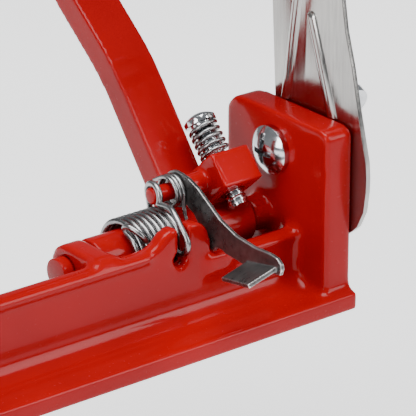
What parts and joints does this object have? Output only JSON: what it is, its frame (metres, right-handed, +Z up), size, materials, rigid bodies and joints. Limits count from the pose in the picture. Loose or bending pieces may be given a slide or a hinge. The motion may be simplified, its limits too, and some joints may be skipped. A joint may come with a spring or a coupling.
{
  "type": "apple peeler corer",
  "caption": "Crank-driven apple peeler with a lead screw and fork, a sprung peeling arm with a latch, a coring and slicing plate and a suction foot.",
  "frame": {"origin": "centre of the suction foot's flat rim, at table level", "axes": "+X along the rail towards the corer, +Z up, +Y towards the side that the peeling arm leans to; Y 0 is the plane of the spindle and of the arm's pivot"},
  "size_m": [0.3302, 0.1057, 0.169],
  "materials": {
    "red_enamel": "gloss red enamel on cast metal",
    "stainless": "brushed stainless sheet",
    "spring_steel": "bright drawn spring wire",
    "latch_steel": "dark oiled sheet with bright edges",
    "zinc": "bright zinc-plated fastener",
    "chrome": "polished plating",
    "black_plastic": "smooth black moulding",
    "black_rubber": "matt black rubber"
  },
  "bodies": {
    "frame": {"frame_casting": "red_enamel", "suction_housing": "red_enamel", "suction_cup": "black_rubber", "base_screws": "zinc", "lever_clip": "zinc", "slicer_plate": "stainless", "coring_ring": "stainless", "corer_screw": "zinc", "corer_wing_nut": "zinc", "corer_washer": "zinc", "pivot_pin": "red_enamel", "release_pin": "zinc", "arm_spring": "spring_steel", "release_spring": "spring_steel"},
    "stem": {"suction_stem": "zinc"},
    "foot_lever": {"suction_lever": "zinc", "lever_grip": "black_plastic"},
    "feed": {"stop_washer": "zinc"},
    "spindle": {"lead_screw": "chrome", "apple_fork": "chrome", "crank_arm": "red_enamel", "crank_nut": "zinc", "knob_bolt": "zinc"},
    "knob": {"crank_knob": "black_plastic"},
    "arm": {"peeling_arm": "red_enamel", "latch_pin": "red_enamel", "latch_spring": "spring_steel", "peeler_blade": "stainless", "blade_bracket": "stainless", "bracket_screw": "zinc", "bracket_wing_nut": "zinc", "bracket_washer": "zinc"},
    "latch": {"arm_latch": "latch_steel"},
    "adjuster": {"adjust_spring": "spring_steel"},
    "screw": {"adjust_screw": "zinc"},
    "release": {"release_lever": "red_enamel"}
  },
  "joints": [
    {"name": "spindle_feed", "type": "slide", "parent": "frame", "child": "feed", "axis": [1, 0, 0], "range_m": [0, 0.08]},
    {"name": "spindle_turn", "type": "hinge", "parent": "feed", "child": "spindle", "pos_m": [-0.02, 0, 0.1495], "axis": [1, 0, 0], "range_deg": [0, 5760]},
    {"name": "knob_spin", "type": "hinge", "parent": "spindle", "child": "knob", "pos_m": [-0.18, 0, 0.0835], "axis": [1, 0, 0], "continuous": true},
    {"name": "arm_swing", "type": "hinge", "parent": "frame", "child": "arm", "pos_m": [0.075, 0, 0.0835], "axis": [1, 0, 0], "range_deg": [0, 26], "deforming": ["arm_spring"]},
    {"name": "latch_lift", "type": "hinge", "parent": "arm", "child": "latch", "pos_m": [0.0747, 0.0007, 0.0944], "axis": [1, 0, 0], "range_deg": [-62.4, 0], "deforming": ["latch_spring"]},
    {"name": "adjust_feed", "type": "slide", "parent": "arm", "child": "adjuster", "axis": [0, -0.6691, -0.7431], "range_m": [0, 0.003], "deforming": ["adjust_spring"]},
    {"name": "adjust_turn", "type": "hinge", "parent": "adjuster", "child": "screw", "pos_m": [0.0866, -0.00576, 0.08936], "axis": [0, -0.6691, -0.7431], "range_deg": [0, 1350]},
    {"name": "release_lift", "type": "hinge", "parent": "frame", "child": "release", "pos_m": [-0.06, 0.016, 0.1575], "axis": [-1, 0, 0], "range_deg": [0, 15], "deforming": ["release_spring"]},
    {"name": "foot_lever_turn", "type": "hinge", "parent": "frame", "child": "foot_lever", "pos_m": [0, 0, 0.038], "axis": [0, -1, 0], "range_deg": [0, 70]},
    {"name": "stem_lift", "type": "slide", "parent": "frame", "child": "stem", "axis": [0, 0, 1], "range_m": [0, 0.003], "deforming": ["suction_cup"]}
  ],
  "couplings": [
    {"joint": "spindle_feed", "follows": "spindle_turn", "m_per_rad": 0.00079577},
    {"joint": "latch_lift", "follows": "arm_swing", "ratio": -2.4},
    {"joint": "adjust_turn", "follows": "adjust_feed", "rad_per_m": 7854},
    {"joint": "stem_lift", "follows": "foot_lever_turn", "m_per_rad": 0.0024555}
  ]
}
